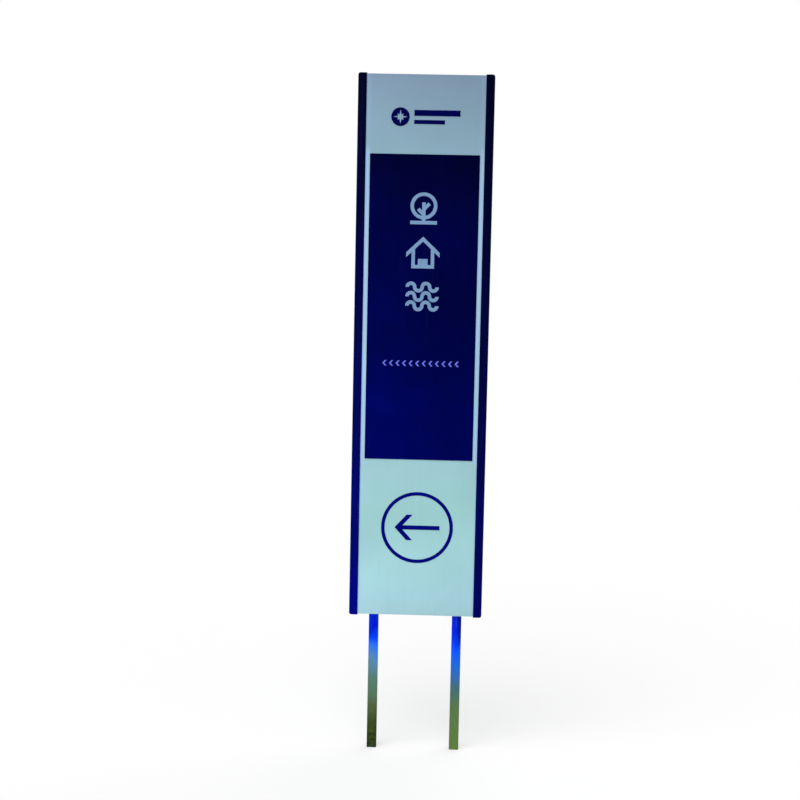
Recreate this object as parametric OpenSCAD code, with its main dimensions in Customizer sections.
// Double-sided directional sign on two square posts.
// +Z up, millimetres. The origin lies on the ground, midway between the two post feet.
// The front face looks towards -Y, and the arrow on both faces points towards -X.

/* [Body] */
// Overall width of the sign body
body_w = 445; // [400:5:600]
// Overall height of the sign body, over its end caps
body_h = 1795; // [1700:5:2200]
// Overall depth of the sign body, over its edge profiles
body_d = 80; // [78:1:120]
// Height of the body's lower end above the ground
ground_gap = 465; // [300:5:800]

/* [Edge profiles] */
// Width of each edge profile, seen from the front
profile_w = 28.5; // [26:0.5:36]
// Wall of the edge profiles
profile_wall = 2.5; // [2:0.1:3]
// Radius along the outer long edges of the profiles
profile_r = 4; // [2.5:0.5:6]
// Depth of the grooves that take the face panels
groove_depth = 10; // [7:0.5:10]
// Thickness of the land behind each groove
land_t = 3; // [2:0.5:4]
// Gap on each side of a face panel in its groove
groove_clear = 0.15; // [0.1:0.05:0.3]

/* [End caps] */
// Height of the moulded end caps
cap_h = 14; // [12:1:20]
// Radius of the caps' outer corner, seen from the front
cap_corner_r = 8; // [4:0.5:8]
// How far the caps stand past the top and bottom covers
cap_stand = 3; // [2:0.5:6]

/* [Face panels and covers] */
// Thickness of the face panels
face_t = 2; // [1.5:0.1:3]
// Gap between a face panel's edge and the bottom of its groove
face_edge_clear = 0.3; // [0.2:0.1:1]
// Thickness of the top and bottom covers
cover_t = 3; // [2.8:0.1:4]
// Gap between a cover's end and the end cap beside it
cover_clear = 0.3; // [0.2:0.1:0.8]
// Diameter of the weep holes in the bottom cover
weep_d = 6; // [4:0.5:8]
// Distance between the two weep holes
weep_spacing = 120; // [60:5:160]

/* [Message panels] */
// Width of the pale strip left open on each side of the dark message panels
strip_w = 14.5; // [8:0.5:40]
// Height of the dark message panels
panel_h = 1005; // [940:5:1100]
// Thickness of the dark message panels
panel_t = 1.5; // [1:0.1:3]
// Distance from the body's top down to the message panels
panel_drop = 260; // [200:1:300]

/* [Posts] */
// Width across the flats of the square posts
post_s = 32; // [25:1:38]
// Wall of the posts
post_wall = 2; // [1.5:0.1:3]
// Outer corner radius of the posts
post_r = 3.5; // [3.2:0.1:5]
// Gap between each post and the edge profile beside it
post_inset = 38; // [34:0.5:60]
// Length of the posts inside the body
post_in = 1000; // [400:10:1300]
// Gap around each post where it passes the bottom cover
post_clear = 0.5; // [0.3:0.1:1]
// Diameter of the anchor pin holes near the feet
anchor_d = 10.5; // [6:0.5:12]
// Height of the anchor pin holes above the feet
anchor_z = 50; // [30:1:120]

/* [Cross rails] */
// Height of the channel rails
rail_h = 40; // [34:1:60]
// Wall of the channel rails
rail_t = 2.5; // [2:0.1:3]
// Gap between the rails' flanges and the face panels
rail_clear = 0.35; // [0.2:0.05:0.6]
// Gap between the rails' ends and the edge profiles
rail_end_clear = 0.5; // [0.3:0.1:2]
// Length of the posts above the middle rails
post_over = 20; // [5:1:60]

/* [Corner brackets] */
// Length of each bracket leg
bracket_leg = 38; // [34:1:40]
// Thickness of the brackets
bracket_t = 4; // [3:0.5:5]
// Gap between the brackets' long edges and the lands of the profiles
bracket_side_clear = 1; // [0.5:0.5:3]

/* [Fasteners] */
// Diameter of the bolts through rails and posts
bolt_d = 8; // [6:0.5:8]
// Length of thread that stands out of each nut
bolt_over = 3; // [1:0.5:4]
// Diameter of the bracket screws
screw_d = 4.8; // [4:0.1:5]
// Length of the bracket screws under the head
screw_l = 13; // [9:1:14]
// Distance of the bracket screws in the profile from the middle plane
web_screw_y = 12; // [9:0.5:13]
// Diameter of the countersunk screws in caps and covers
csk_d = 3.5; // [3:0.1:3.6]
// Head diameter of the countersunk screws
csk_head_d = 7; // [6.2:0.1:7]
// Length of the countersunk screws in the end caps
cap_screw_l = 25; // [22:1:40]
// Length of the countersunk screws in the covers
cover_screw_l = 12; // [8:1:16]
// Distance of the cap screws from the middle plane
cap_screw_y = 24; // [22:0.5:26]
// Distance between the cover screws along a rail
cover_screw_spacing = 200; // [160:5:220]
// Gap around the shank of every screw and bolt
shank_clear = 0.2; // [0.1:0.05:0.4]

/* [Graphics] */
// Thickness of the raised graphics
graphic_t = 1; // [0.6:0.1:2]
// Outer diameter of the arrow's ring
ring_d = 240; // [200:1:300]
// Width of the ring's line
ring_line = 11.5; // [6:0.5:16]
// Distance from the message panel's lower edge to the ring's centre
ring_drop = 229; // [200:1:260]
// Length of the arrow
arrow_l = 150; // [110:1:170]
// Width of the arrow's shaft
arrow_line = 14; // [8:0.5:18]
// Half height of the arrow's head
arrow_rise = 43; // [30:0.5:55]
// Length of the arrow's head along the shaft
arrow_run = 39.5; // [28:0.5:55]
// Width of the head's line, measured along the shaft
arrow_cut = 19.5; // [10:0.5:26]
// Width of the pictograms
picto_w = 110; // [90:1:140]
// Height of the pictograms
picto_h = 104; // [84:1:120]
// Distance between the pictograms' centres
picto_pitch = 144; // [130:1:170]
// Distance from the message panel's upper edge to the first pictogram's centre
picto_drop = 175; // [120:1:200]
// Width of the pictograms' lines
picto_line = 11.5; // [6:0.5:13]
// Number of chevrons in the small row
chevron_n = 12; // [4:1:14]
// Distance from one chevron to the next
chevron_pitch = 21.7; // [19:0.1:24]
// Height of the chevrons
chevron_h = 18; // [12:1:24]
// Length of each chevron
chevron_run = 8; // [5:0.5:10]
// Width of the chevrons' line, measured along the row
chevron_cut = 6; // [3:0.5:8]
// Distance from the message panel's upper edge to the chevron row
chevron_drop = 684; // [600:1:800]
// Outer diameter of the compass emblem
emblem_d = 60; // [40:1:80]
// Width of the emblem's rim outside the points of its star
emblem_line = 5.5; // [3:0.5:9]
// Distance from the body's top to the emblem's centre
emblem_drop = 140; // [80:1:150]
// Length of the longer bar beside the emblem
bar_l = 150; // [100:1:180]
// Length of the shorter bar beside the emblem
bar_short_l = 100; // [60:1:140]
// Height of the longer bar
bar_h = 19; // [8:1:26]
// Height of the shorter bar
bar_short_h = 13; // [5:1:20]
// Gap between the two bars
bar_gap = 13; // [6:1:20]
// Gap between the emblem and the bars
emblem_gap = 15; // [12:1:40]

/* [Hidden] */
$fn = 48;

eps = 1;
left = -1;
right = 1;
front = -1;
rear = 1;

navy = "#04064a";
pale_blue = "#a5cdd6";
glyph_grey = "#8fabc0";
periwinkle = "#6e78e6";
steel = "silver";

// Levels along Z
body_bottom = ground_gap;
body_top = body_bottom + body_h;
profile_z0 = body_bottom + cap_h;
profile_z1 = body_top - cap_h;
face_z0 = body_bottom + cap_stand + cover_t;
face_z1 = body_top - cap_stand - cover_t;
panel_z1 = body_top - panel_drop;
panel_z0 = panel_z1 - panel_h;
ring_z = panel_z0 - ring_drop;
post_top = body_bottom + post_in;
rail_zs = [face_z0, post_top - post_over - rail_h, face_z1 - rail_h];

// Places across the width, for the right-hand side
half_w = body_w / 2;
profile_x0 = half_w - profile_w;
web_x0 = profile_x0 + groove_depth;
web_x1 = web_x0 + profile_wall;
rail_x = profile_x0 - rail_end_clear;
post_x = profile_x0 - post_inset - post_s / 2;
panel_w = 2 * (profile_x0 - strip_w);

// Places through the depth, for the rear half
half_d = body_d / 2;
groove_y1 = half_d - profile_wall;
face_y1 = groove_y1 - groove_clear;
face_y0 = face_y1 - face_t;
groove_y0 = face_y0 - groove_clear;
land_y0 = groove_y0 - land_t;
post_y = post_s / 2;
rail_y1 = face_y0 - rail_clear;
rail_depth = rail_y1 - post_y;
rail_screw_y = (post_y + rail_t + rail_y1) / 2;
panel_y = face_y1 + panel_t;

// Screw ports inside the edge profiles, and the proportions of the fasteners
port_wall = 2.2;
port_step = 2.5;
port_r = csk_d / 2 + shank_clear + port_wall;
port_x = web_x1 + port_step;
csk_head_h = (csk_head_d - csk_d) / 2;
nut_h = 0.8 * bolt_d;
nut_flats = 1.6 * bolt_d;
head_h = 0.65 * bolt_d;
washer_t = 0.2 * bolt_d;
washer_d = 2 * bolt_d;
pan_h = 0.5 * screw_d;
pan_d = 1.9 * screw_d;
bracket_w = 2 * (land_y0 - bracket_side_clear);
leg_hole = 0.62 * bracket_leg;
bolt_zs = [for (i = [0, 1]) rail_zs[i] + rail_h / 2];

// The emblem and its bars as one centred block
emblem_block_w = emblem_d + emblem_gap + bar_l;
emblem_x = -emblem_block_w / 2 + emblem_d / 2;
bars_x = -emblem_block_w / 2 + emblem_d + emblem_gap;

// A rectangle about the origin with four true round corners
module rounded_rect(w, d, r) {
    square([w - 2 * r, d], center = true);
    square([w, d - 2 * r], center = true);
    for (x = [-1, 1], y = [-1, 1])
        translate([x * (w / 2 - r), y * (d / 2 - r)])
            circle(r = r);
}

// Mirrors what is drawn for the right-hand side to the left when side is -1
module on_side(side) {
    if (side < 0) mirror([1, 0, 0]) children();
    else children();
}

// Mirrors what is drawn for the rear to the front when face is -1
module on_face(face) {
    if (face < 0) mirror([0, 1, 0]) children();
    else children();
}

// Turns what is drawn for the bottom end upside down about the body's middle when end is 1
module on_end(end) {
    mid = (body_bottom + body_top) / 2;
    if (end > 0) translate([0, 0, 2 * mid]) mirror([0, 0, 1]) children();
    else children();
}

// The outer outline of the right-hand profile, seen from above
module profile_outline() {
    translate([profile_x0, -half_d])
        square([profile_w - profile_r, body_d]);
    translate([profile_x0, -half_d + profile_r])
        square([profile_w, body_d - 2 * profile_r]);
    for (y = [-1, 1])
        translate([half_w - profile_r, y * (half_d - profile_r)])
            circle(r = profile_r);
}

// The two grooves that take the edges of the face panels
module groove_cuts() {
    for (y = [groove_y0, -groove_y1])
        translate([profile_x0 - eps, y])
            square([groove_depth + eps, groove_y1 - groove_y0]);
}

module profile_section() {
    difference() {
        profile_outline();
        groove_cuts();
        translate([profile_x0 - eps, -land_y0])
            square([groove_depth + eps, 2 * land_y0]);
        difference() {
            translate([web_x1, -groove_y1])
                square([half_w - profile_wall - web_x1, 2 * groove_y1]);
            for (y = [-1, 1])
                translate([port_x, y * cap_screw_y])
                    circle(r = port_r);
        }
        for (y = [-1, 1])
            translate([port_x, y * cap_screw_y])
                circle(r = csk_d / 2 + shank_clear);
    }
}

// The bracket's two screws in the web of the profile, as a cutter or as a place for screws
module at_web_screws(level) {
    up = level == 2 ? -1 : 1;
    z = bracket_z(level) + up * leg_hole;
    for (y = [-1, 1])
        translate([web_x0 - bracket_t, y * web_screw_y, z])
            rotate([0, 90, 0])
                children();
}

// The bracket's two screws in the flanges of the rails, with the heads up when drawn upright
module at_rail_screws(level) {
    up = level == 2 ? -1 : 1;
    z = bracket_z(level) + up * bracket_t;
    for (y = [-1, 1])
        translate([web_x0 - leg_hole, y * rail_screw_y, z])
            rotate([up > 0 ? 180 : 0, 0, 0])
                children();
}

// Height of the rail face that the bracket of a level lies on
function bracket_z(level) = level == 2 ? rail_zs[level] : rail_zs[level] + rail_h;

module edge_profile(side) {
    color(navy)
        on_side(side)
            difference() {
                translate([0, 0, profile_z0])
                    linear_extrude(profile_z1 - profile_z0)
                        profile_section();
                for (level = [0:2])
                    at_web_screws(level)
                        cylinder(d = screw_d + 2 * shank_clear, h = bracket_t + profile_wall + eps);
            }
}

// The cap's outline seen from the front, with its outer lower corner round
module cap_front() {
    translate([profile_x0, body_bottom + cap_corner_r])
        square([profile_w, cap_h - cap_corner_r]);
    translate([profile_x0, body_bottom])
        square([profile_w - cap_corner_r, cap_h]);
    translate([half_w - cap_corner_r, body_bottom + cap_corner_r])
        circle(r = cap_corner_r);
}

module end_cap(side, end) {
    color(navy)
        on_end(end)
            on_side(side)
                difference() {
                    intersection() {
                        translate([0, 0, body_bottom])
                            linear_extrude(cap_h)
                                profile_outline();
                        translate([0, half_d + eps, 0])
                            rotate([90, 0, 0])
                                linear_extrude(body_d + 2 * eps)
                                    cap_front();
                    }
                    translate([0, 0, face_z0 - face_edge_clear])
                        linear_extrude(cap_h)
                            groove_cuts();
                    for (y = [-1, 1])
                        translate([port_x, y * cap_screw_y, body_bottom])
                            csk_cut(cap_h);
                }
}

module face_panel(face) {
    edge = web_x0 - face_edge_clear;
    color(pale_blue)
        on_face(face)
            translate([-edge, face_y0, face_z0])
                cube([2 * edge, face_t, face_z1 - face_z0]);
}

module message_panel(face) {
    color(navy)
        on_face(face)
            translate([-panel_w / 2, face_y1, panel_z0])
                cube([panel_w, panel_t, panel_h]);
}

// A countersunk hole from z = 0 upwards, and the screw that goes in it
module csk_cut(length) {
    translate([0, 0, -eps])
        cylinder(d = csk_d + 2 * shank_clear, h = length + 2 * eps);
    cylinder(d1 = csk_head_d + 2 * shank_clear, d2 = csk_d + 2 * shank_clear, h = csk_head_h);
}

module csk_screw(length) {
    cylinder(d1 = csk_head_d, d2 = csk_d, h = csk_head_h);
    cylinder(d = csk_d, h = length);
}

module at_cover_screws() {
    for (x = [-1, 1], y = [-1, 1])
        translate([x * cover_screw_spacing / 2, y * rail_screw_y, body_bottom + cap_stand])
            children();
}

module cover_plate() {
    edge = profile_x0 - cover_clear;
    difference() {
        translate([-edge, -face_y1, body_bottom + cap_stand])
            cube([2 * edge, 2 * face_y1, cover_t]);
        at_cover_screws()
            csk_cut(cover_t);
    }
}

module top_cover() {
    color(pale_blue)
        on_end(1)
            cover_plate();
}

module bottom_cover() {
    hole = post_s + 2 * post_clear;
    color(pale_blue)
        difference() {
            cover_plate();
            for (x = [-1, 1])
                translate([x * post_x, 0, body_bottom])
                    linear_extrude(2 * cap_h)
                        rounded_rect(hole, hole, post_r);
            for (x = [-1, 1])
                translate([x * weep_spacing / 2, 0, body_bottom])
                    cylinder(d = weep_d, h = 2 * cap_h);
        }
}

module post(side) {
    inner = post_s - 2 * post_wall;
    color("steelblue")
        translate([side * post_x, 0, 0])
            difference() {
                linear_extrude(post_top)
                    difference() {
                        rounded_rect(post_s, post_s, post_r);
                        rounded_rect(inner, inner, post_r - post_wall);
                    }
                translate([0, 0, anchor_z])
                    rotate([0, 90, 0])
                        cylinder(d = anchor_d, h = post_s + 2 * eps, center = true);
                for (z = bolt_zs)
                    translate([0, 0, z])
                        rotate([90, 0, 0])
                            cylinder(d = bolt_d + 2 * shank_clear, h = post_s + 2 * eps, center = true);
            }
}

// A channel rail with its web against the posts and its flanges towards the face panel
module rail(level, face) {
    z = rail_zs[level];
    color(steel)
        on_face(face)
            difference() {
                translate([-rail_x, post_y, z])
                    cube([2 * rail_x, rail_depth, rail_h]);
                translate([-rail_x - eps, post_y + rail_t, z + rail_t])
                    cube([2 * (rail_x + eps), rail_depth, rail_h - 2 * rail_t]);
                if (level < 2)
                    for (x = [-1, 1])
                        translate([x * post_x, post_y - eps, bolt_zs[level]])
                            rotate([-90, 0, 0])
                                cylinder(d = bolt_d + 2 * shank_clear, h = rail_t + 2 * eps);
                for (side = [left, right])
                    on_side(side)
                        at_rail_screws(level)
                            cylinder(d = screw_d + 2 * shank_clear, h = bracket_t + rail_t + eps);
                if (level != 1)
                    on_end(level == 2 ? 1 : 0)
                        at_cover_screws()
                            cylinder(d = csk_d + 2 * shank_clear, h = cover_t + rail_t + eps);
            }
}

// An angle from the web of the profile onto both rails of a level
module bracket(level, side) {
    up = level == 2 ? -1 : 1;
    z = bracket_z(level);
    color(steel)
        on_side(side)
            difference() {
                union() {
                    translate([web_x0 - bracket_t, -bracket_w / 2, up > 0 ? z : z - bracket_leg])
                        cube([bracket_t, bracket_w, bracket_leg]);
                    translate([web_x0 - bracket_leg, -bracket_w / 2, up > 0 ? z : z - bracket_t])
                        cube([bracket_leg, bracket_w, bracket_t]);
                }
                translate([-eps, 0, 0])
                    at_web_screws(level)
                        cylinder(d = screw_d + 2 * shank_clear, h = bracket_t + 2 * eps);
                translate([0, 0, up * eps])
                    at_rail_screws(level)
                        cylinder(d = screw_d + 2 * shank_clear, h = bracket_t + 2 * eps);
            }
}

module pan_screw() {
    cylinder(d = screw_d, h = screw_l);
    translate([0, 0, -pan_h])
        cylinder(d = pan_d, h = pan_h);
}

module bracket_screws() {
    color(steel)
        for (side = [left, right], level = [0:2])
            on_side(side) {
                at_web_screws(level)
                    pan_screw();
                at_rail_screws(level)
                    pan_screw();
            }
}

// Places of the four bolts through a front rail, a post and a rear rail, on the front rail's web
module at_post_bolts() {
    for (x = [-1, 1], z = bolt_zs)
        translate([x * post_x, -post_y - rail_t, z])
            rotate([-90, 0, 0])
                children();
}

module post_bolts() {
    grip = 2 * (post_y + rail_t);
    length = washer_t + grip + washer_t + nut_h + bolt_over;
    color(steel)
        at_post_bolts() {
            translate([0, 0, -washer_t])
                cylinder(d = bolt_d, h = length);
            translate([0, 0, -washer_t - head_h])
                cylinder(d = nut_flats / cos(30), h = head_h, $fn = 6);
        }
}

module post_nuts() {
    grip = 2 * (post_y + rail_t);
    color(steel)
        at_post_bolts()
            translate([0, 0, grip + washer_t])
                difference() {
                    cylinder(d = nut_flats / cos(30), h = nut_h, $fn = 6);
                    translate([0, 0, -eps])
                        cylinder(d = bolt_d + 2 * shank_clear, h = nut_h + 2 * eps);
                }
}

module post_washers() {
    grip = 2 * (post_y + rail_t);
    color(steel)
        at_post_bolts()
            for (z = [-washer_t, grip])
                translate([0, 0, z])
                    difference() {
                        cylinder(d = washer_d, h = washer_t);
                        translate([0, 0, -eps])
                            cylinder(d = bolt_d + 2 * shank_clear, h = washer_t + 2 * eps);
                    }
}

module cap_screws() {
    color(steel)
        for (side = [left, right], end = [0, 1], y = [-1, 1])
            on_end(end)
                on_side(side)
                    translate([port_x, y * cap_screw_y, body_bottom])
                        csk_screw(cap_screw_l);
}

module top_cover_screws() {
    color(steel)
        on_end(1)
            at_cover_screws()
                csk_screw(cover_screw_l);
}

module bottom_cover_screws() {
    color(steel)
        at_cover_screws()
            csk_screw(cover_screw_l);
}

// Stands a flat graphic up on a face, with its X to the right of whoever reads that face
module graphic(face, x, z, seat_y) {
    rotate([0, 0, face < 0 ? 0 : 180])
        translate([x, -seat_y, z])
            rotate([90, 0, 0])
                linear_extrude(graphic_t)
                    children();
}

// A chevron that points towards -X with its point at the origin
module chevron(run, rise, cut) {
    polygon([[0, 0], [run, rise], [run + cut, rise], [cut, 0], [run + cut, -rise], [run, -rise]]);
}

// An arrow that points towards -X with its point at the origin
module arrow_shape() {
    half = arrow_line / 2;
    neck_x = arrow_cut + half * arrow_run / arrow_rise;
    polygon([
        [0, 0], [arrow_run, arrow_rise], [arrow_run + arrow_cut, arrow_rise],
        [neck_x, half], [arrow_l, half], [arrow_l, -half], [neck_x, -half],
        [arrow_run + arrow_cut, -arrow_rise], [arrow_run, -arrow_rise]
    ]);
}

module arrow(face) {
    color(navy)
        graphic(face, 0, ring_z, face_y1)
            mirror([face < 0 ? 0 : 1, 0, 0])
                translate([-arrow_l / 2, 0])
                    arrow_shape();
}

module arrow_ring(face) {
    color(navy)
        graphic(face, 0, ring_z, face_y1)
            difference() {
                circle(d = ring_d, $fn = 96);
                circle(d = ring_d - 2 * ring_line, $fn = 96);
            }
}

// Height of a pictogram's centre, counted from the top one
function picto_z(i) = panel_z1 - picto_drop - i * picto_pitch;

// A round crown on a trunk with two staggered branches
module tree_shape() {
    crown_r = 0.4 * picto_w;
    crown_y = picto_h / 2 - crown_r;
    low_branch_y = crown_y - 0.65 * crown_r;
    high_branch_y = crown_y - 0.25 * crown_r;
    branch_l = 0.6 * crown_r;
    ground_y = -picto_h / 2;
    ground_w = 0.8 * picto_w;
    difference() {
        translate([0, crown_y])
            circle(r = crown_r);
        translate([0, crown_y])
            circle(r = crown_r - picto_line);
    }
    translate([-picto_line / 2, ground_y])
        square([picto_line, crown_y - ground_y + picto_line]);
    for (s = [-1, 1])
        translate([0, s > 0 ? low_branch_y : high_branch_y])
            rotate([0, 0, s * 45])
                translate([-picto_line / 2, 0])
                    square([picto_line, branch_l]);
    translate([-ground_w / 2, ground_y])
        square([ground_w, picto_line]);
}

// A gable roof with eaves over two walls, a floor line and a door
module house_shape() {
    eaves_x = picto_w / 2;
    ridge_y = picto_h / 2;
    ground_y = -picto_h / 2;
    wall_x = 0.34 * picto_w;
    door_x = 1.4 * picto_line;
    door_y = ground_y + 0.3 * picto_h;
    floor_y = ground_y + picto_line;
    slope = ridge_y / eaves_x;
    roof_t = picto_line / cos(atan(slope));
    inner_x = wall_x - picto_line;
    half_outline = [
        [eaves_x, 0], [eaves_x, -roof_t],
        [wall_x, ridge_y - roof_t - slope * wall_x], [wall_x, ground_y]
    ];
    half_room = [
        [inner_x, ridge_y - roof_t - slope * inner_x], [inner_x, floor_y],
        [door_x, floor_y], [door_x, door_y]
    ];
    difference() {
        polygon(concat([[0, ridge_y]], half_outline, mirrored_back(half_outline)));
        polygon(concat([[0, ridge_y - roof_t]], half_room, mirrored_back(half_room)));
    }
}

// The points of a half outline mirrored to -X, in the order that closes it
function mirrored_back(points) =
    [for (i = [len(points) - 1:-1:0]) [-points[i][0], points[i][1]]];

// One line of half-round waves, centred on the origin
module wave_line(n, span) {
    r = span / (2 * n);
    for (i = [0:n - 1])
        translate([-span / 2 + (2 * i + 1) * r, 0])
            intersection() {
                difference() {
                    circle(r = r + picto_line / 2);
                    circle(r = r - picto_line / 2);
                }
                translate([-2 * r, i % 2 == 0 ? 0 : -2 * r])
                    square([4 * r, 2 * r]);
            }
}

// Three lines of waves under each other
module water_shape() {
    span = picto_w - picto_line;
    rows = 3;
    step = (picto_h - picto_line) / rows;
    for (i = [0:rows - 1])
        translate([0, (i - (rows - 1) / 2) * step])
            wave_line(4, span);
}

module tree_pictogram(face) {
    color(glyph_grey)
        graphic(face, 0, picto_z(0), panel_y)
            tree_shape();
}

module house_pictogram(face) {
    color(glyph_grey)
        graphic(face, 0, picto_z(1), panel_y)
            house_shape();
}

module water_pictogram(face) {
    color(glyph_grey)
        graphic(face, 0, picto_z(2), panel_y)
            water_shape();
}

module chevron_row(face) {
    row_l = (chevron_n - 1) * chevron_pitch + chevron_run + chevron_cut;
    color(periwinkle)
        graphic(face, 0, panel_z1 - chevron_drop, panel_y)
            mirror([face < 0 ? 0 : 1, 0, 0])
                for (i = [0:chevron_n - 1])
                    translate([-row_l / 2 + i * chevron_pitch, 0])
                        chevron(chevron_run, chevron_h / 2, chevron_cut);
}

// A round plate with a compass star of four long and four short points cut out of it
module compass_shape() {
    long_r = emblem_d / 2 - emblem_line;
    short_r = 0.62 * long_r;
    waist_r = 0.34 * long_r;
    corners = 16;
    turn = 360 / corners;
    difference() {
        circle(d = emblem_d);
        polygon([for (i = [0:corners - 1])
            let (r = i % 2 == 1 ? waist_r : (i % 4 == 0 ? long_r : short_r))
            [r * sin(i * turn), r * cos(i * turn)]]);
    }
}

module emblem(face) {
    color(navy)
        graphic(face, emblem_x, body_top - emblem_drop, face_y1)
            compass_shape();
}

module emblem_bars(face) {
    stack_h = bar_h + bar_gap + bar_short_h;
    color(navy)
        graphic(face, bars_x, body_top - emblem_drop, face_y1) {
            translate([0, stack_h / 2 - bar_h])
                square([bar_l, bar_h]);
            translate([0, -stack_h / 2])
                square([bar_short_l, bar_short_h]);
        }
}

edge_profile(left);  // left_edge_profile
edge_profile(right);  // right_edge_profile
end_cap(left, 1);  // left_top_cap
end_cap(right, 1);  // right_top_cap
end_cap(left, 0);  // left_bottom_cap
end_cap(right, 0);  // right_bottom_cap
face_panel(front);  // front_face_panel
face_panel(rear);  // rear_face_panel
message_panel(front);  // front_message_panel
message_panel(rear);  // rear_message_panel
top_cover();
bottom_cover();
post(left);  // left_post
post(right);  // right_post
rail(0, front);  // lower_front_rail
rail(0, rear);  // lower_rear_rail
rail(1, front);  // middle_front_rail
rail(1, rear);  // middle_rear_rail
rail(2, front);  // upper_front_rail
rail(2, rear);  // upper_rear_rail
bracket(0, left);  // lower_left_bracket
bracket(0, right);  // lower_right_bracket
bracket(1, left);  // middle_left_bracket
bracket(1, right);  // middle_right_bracket
bracket(2, left);  // upper_left_bracket
bracket(2, right);  // upper_right_bracket
post_bolts();
post_nuts();
post_washers();
bracket_screws();
cap_screws();
top_cover_screws();
bottom_cover_screws();
arrow(front);  // front_arrow
arrow_ring(front);  // front_arrow_ring
arrow(rear);  // rear_arrow
arrow_ring(rear);  // rear_arrow_ring
tree_pictogram(front);  // front_tree_pictogram
house_pictogram(front);  // front_house_pictogram
water_pictogram(front);  // front_water_pictogram
tree_pictogram(rear);  // rear_tree_pictogram
house_pictogram(rear);  // rear_house_pictogram
water_pictogram(rear);  // rear_water_pictogram
chevron_row(front);  // front_chevron_row
chevron_row(rear);  // rear_chevron_row
emblem(front);  // front_emblem
emblem(rear);  // rear_emblem
emblem_bars(front);  // front_emblem_bars
emblem_bars(rear);  // rear_emblem_bars
